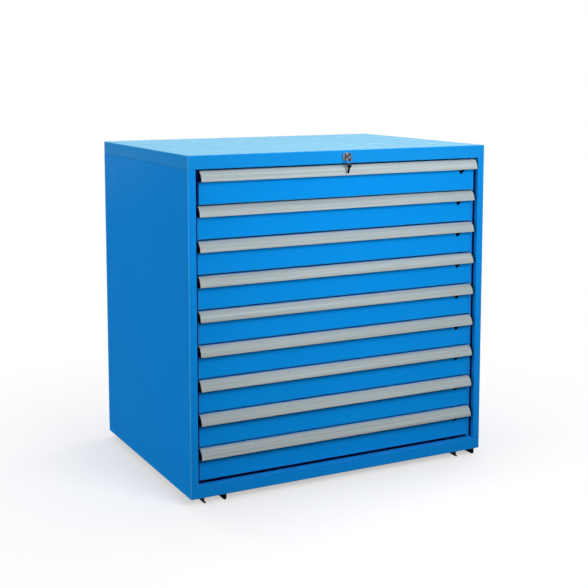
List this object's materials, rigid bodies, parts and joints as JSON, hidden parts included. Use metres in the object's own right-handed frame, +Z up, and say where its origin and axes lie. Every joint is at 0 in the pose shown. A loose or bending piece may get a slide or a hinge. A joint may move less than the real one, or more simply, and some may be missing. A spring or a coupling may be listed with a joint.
{
  "type": "tool cabinet",
  "caption": "Free-standing sheet steel tool cabinet with full-width drawers, curved aluminium grip handles, sliding finger latches and a central key lock.",
  "frame": {"origin": "on the floor, centred under the cabinet and the key that stands out of its lock", "axes": "+Z up, -Y out of the drawer fronts, +X to the right as seen from the front"},
  "size_m": [1.023, 0.773, 1.022],
  "materials": {
    "housing_blue": "satin",
    "front_blue": "satin",
    "handle_aluminium": "satin",
    "cap_black": "matt",
    "galvanised_steel": "satin",
    "runner_black": "matt",
    "lock_chrome": "polished",
    "key_steel": "polished"
  },
  "bodies": {
    "root": {"top_cover": "housing_blue", "base_pan": "housing_blue", "side_panel_left": "housing_blue", "side_panel_right": "housing_blue", "back_panel": "housing_blue", "uprights": "housing_blue", "fixed_rails": "galvanised_steel", "floor_runners": "runner_black", "lock_barrel": "lock_chrome", "rod_guides": "galvanised_steel", "bar_guides": "galvanised_steel"},
    "lock_core": {"lock_plug": "lock_chrome", "key": "key_steel"},
    "transfer_rod": {"transfer_rod": "galvanised_steel"},
    "locking_bar": {"locking_bar": "galvanised_steel"},
    "drawer_1": {"drawer_1_tray": "front_blue", "drawer_1_handle": "handle_aluminium", "drawer_1_end_caps": "cap_black"},
    "slides_1": {"drawer_1_slides": "galvanised_steel"},
    "latch_1": {"drawer_1_latch": "cap_black"},
    "drawer_2": {"drawer_2_tray": "front_blue", "drawer_2_handle": "handle_aluminium", "drawer_2_end_caps": "cap_black"},
    "slides_2": {"drawer_2_slides": "galvanised_steel"},
    "latch_2": {"drawer_2_latch": "cap_black"},
    "drawer_3": {"drawer_3_tray": "front_blue", "drawer_3_handle": "handle_aluminium", "drawer_3_end_caps": "cap_black"},
    "slides_3": {"drawer_3_slides": "galvanised_steel"},
    "latch_3": {"drawer_3_latch": "cap_black"},
    "drawer_4": {"drawer_4_tray": "front_blue", "drawer_4_handle": "handle_aluminium", "drawer_4_end_caps": "cap_black"},
    "slides_4": {"drawer_4_slides": "galvanised_steel"},
    "latch_4": {"drawer_4_latch": "cap_black"},
    "drawer_5": {"drawer_5_tray": "front_blue", "drawer_5_handle": "handle_aluminium", "drawer_5_end_caps": "cap_black"},
    "slides_5": {"drawer_5_slides": "galvanised_steel"},
    "latch_5": {"drawer_5_latch": "cap_black"},
    "drawer_6": {"drawer_6_tray": "front_blue", "drawer_6_handle": "handle_aluminium", "drawer_6_end_caps": "cap_black"},
    "slides_6": {"drawer_6_slides": "galvanised_steel"},
    "latch_6": {"drawer_6_latch": "cap_black"},
    "drawer_7": {"drawer_7_tray": "front_blue", "drawer_7_handle": "handle_aluminium", "drawer_7_end_caps": "cap_black"},
    "slides_7": {"drawer_7_slides": "galvanised_steel"},
    "latch_7": {"drawer_7_latch": "cap_black"},
    "drawer_8": {"drawer_8_tray": "front_blue", "drawer_8_handle": "handle_aluminium", "drawer_8_end_caps": "cap_black"},
    "slides_8": {"drawer_8_slides": "galvanised_steel"},
    "latch_8": {"drawer_8_latch": "cap_black"},
    "drawer_9": {"drawer_9_tray": "front_blue", "drawer_9_handle": "handle_aluminium", "drawer_9_end_caps": "cap_black"},
    "slides_9": {"drawer_9_slides": "galvanised_steel"},
    "latch_9": {"drawer_9_latch": "cap_black"}
  },
  "joints": [
    {"name": "lock_turn", "type": "hinge", "parent": "root", "child": "lock_core", "pos_m": [0, -0.3535, 1.002], "axis": [0, 1, 0], "range_deg": [0, 90]},
    {"name": "transfer_slide", "type": "slide", "parent": "root", "child": "transfer_rod", "axis": [-1, 0, 0], "range_m": [0, 0.01414]},
    {"name": "locking_lower", "type": "slide", "parent": "root", "child": "locking_bar", "axis": [0, 0, -1], "range_m": [0, 0.01434]},
    {"name": "drawer_1_slide", "type": "slide", "parent": "root", "child": "drawer_1", "axis": [0, -1, 0], "range_m": [-0.0135, 0.5865]},
    {"name": "slides_1_travel", "type": "slide", "parent": "root", "child": "slides_1", "axis": [0, -1, 0], "range_m": [-0.00675, 0.29325]},
    {"name": "latch_1_slide", "type": "slide", "parent": "drawer_1", "child": "latch_1", "axis": [-1, 0, 0], "range_m": [0, 0.008], "stiffness_N_per_m": 150},
    {"name": "drawer_2_slide", "type": "slide", "parent": "root", "child": "drawer_2", "axis": [0, -1, 0], "range_m": [0, 0.6]},
    {"name": "slides_2_travel", "type": "slide", "parent": "root", "child": "slides_2", "axis": [0, -1, 0], "range_m": [0, 0.3]},
    {"name": "latch_2_slide", "type": "slide", "parent": "drawer_2", "child": "latch_2", "axis": [-1, 0, 0], "range_m": [0, 0.008], "stiffness_N_per_m": 150},
    {"name": "drawer_3_slide", "type": "slide", "parent": "root", "child": "drawer_3", "axis": [0, -1, 0], "range_m": [0, 0.6]},
    {"name": "slides_3_travel", "type": "slide", "parent": "root", "child": "slides_3", "axis": [0, -1, 0], "range_m": [0, 0.3]},
    {"name": "latch_3_slide", "type": "slide", "parent": "drawer_3", "child": "latch_3", "axis": [-1, 0, 0], "range_m": [0, 0.008], "stiffness_N_per_m": 150},
    {"name": "drawer_4_slide", "type": "slide", "parent": "root", "child": "drawer_4", "axis": [0, -1, 0], "range_m": [0, 0.6]},
    {"name": "slides_4_travel", "type": "slide", "parent": "root", "child": "slides_4", "axis": [0, -1, 0], "range_m": [0, 0.3]},
    {"name": "latch_4_slide", "type": "slide", "parent": "drawer_4", "child": "latch_4", "axis": [-1, 0, 0], "range_m": [0, 0.008], "stiffness_N_per_m": 150},
    {"name": "drawer_5_slide", "type": "slide", "parent": "root", "child": "drawer_5", "axis": [0, -1, 0], "range_m": [0, 0.6]},
    {"name": "slides_5_travel", "type": "slide", "parent": "root", "child": "slides_5", "axis": [0, -1, 0], "range_m": [0, 0.3]},
    {"name": "latch_5_slide", "type": "slide", "parent": "drawer_5", "child": "latch_5", "axis": [-1, 0, 0], "range_m": [0, 0.008], "stiffness_N_per_m": 150},
    {"name": "drawer_6_slide", "type": "slide", "parent": "root", "child": "drawer_6", "axis": [0, -1, 0], "range_m": [0, 0.6]},
    {"name": "slides_6_travel", "type": "slide", "parent": "root", "child": "slides_6", "axis": [0, -1, 0], "range_m": [0, 0.3]},
    {"name": "latch_6_slide", "type": "slide", "parent": "drawer_6", "child": "latch_6", "axis": [-1, 0, 0], "range_m": [0, 0.008], "stiffness_N_per_m": 150},
    {"name": "drawer_7_slide", "type": "slide", "parent": "root", "child": "drawer_7", "axis": [0, -1, 0], "range_m": [0, 0.6]},
    {"name": "slides_7_travel", "type": "slide", "parent": "root", "child": "slides_7", "axis": [0, -1, 0], "range_m": [0, 0.3]},
    {"name": "latch_7_slide", "type": "slide", "parent": "drawer_7", "child": "latch_7", "axis": [-1, 0, 0], "range_m": [0, 0.008], "stiffness_N_per_m": 150},
    {"name": "drawer_8_slide", "type": "slide", "parent": "root", "child": "drawer_8", "axis": [0, -1, 0], "range_m": [0, 0.6]},
    {"name": "slides_8_travel", "type": "slide", "parent": "root", "child": "slides_8", "axis": [0, -1, 0], "range_m": [0, 0.3]},
    {"name": "latch_8_slide", "type": "slide", "parent": "drawer_8", "child": "latch_8", "axis": [-1, 0, 0], "range_m": [0, 0.008], "stiffness_N_per_m": 150},
    {"name": "drawer_9_slide", "type": "slide", "parent": "root", "child": "drawer_9", "axis": [0, -1, 0], "range_m": [0, 0.6]},
    {"name": "slides_9_travel", "type": "slide", "parent": "root", "child": "slides_9", "axis": [0, -1, 0], "range_m": [0, 0.3]},
    {"name": "latch_9_slide", "type": "slide", "parent": "drawer_9", "child": "latch_9", "axis": [-1, 0, 0], "range_m": [0, 0.008], "stiffness_N_per_m": 150}
  ],
  "couplings": [
    {"joint": "lock_turn", "follows": "transfer_slide", "rad_per_m": 111.07},
    {"joint": "locking_lower", "follows": "transfer_slide", "ratio": 1},
    {"joint": "slides_1_travel", "follows": "drawer_1_slide", "ratio": 0.5},
    {"joint": "slides_2_travel", "follows": "drawer_2_slide", "ratio": 0.5},
    {"joint": "slides_3_travel", "follows": "drawer_3_slide", "ratio": 0.5},
    {"joint": "slides_4_travel", "follows": "drawer_4_slide", "ratio": 0.5},
    {"joint": "slides_5_travel", "follows": "drawer_5_slide", "ratio": 0.5},
    {"joint": "slides_6_travel", "follows": "drawer_6_slide", "ratio": 0.5},
    {"joint": "slides_7_travel", "follows": "drawer_7_slide", "ratio": 0.5},
    {"joint": "slides_8_travel", "follows": "drawer_8_slide", "ratio": 0.5},
    {"joint": "slides_9_travel", "follows": "drawer_9_slide", "ratio": 0.5}
  ]
}
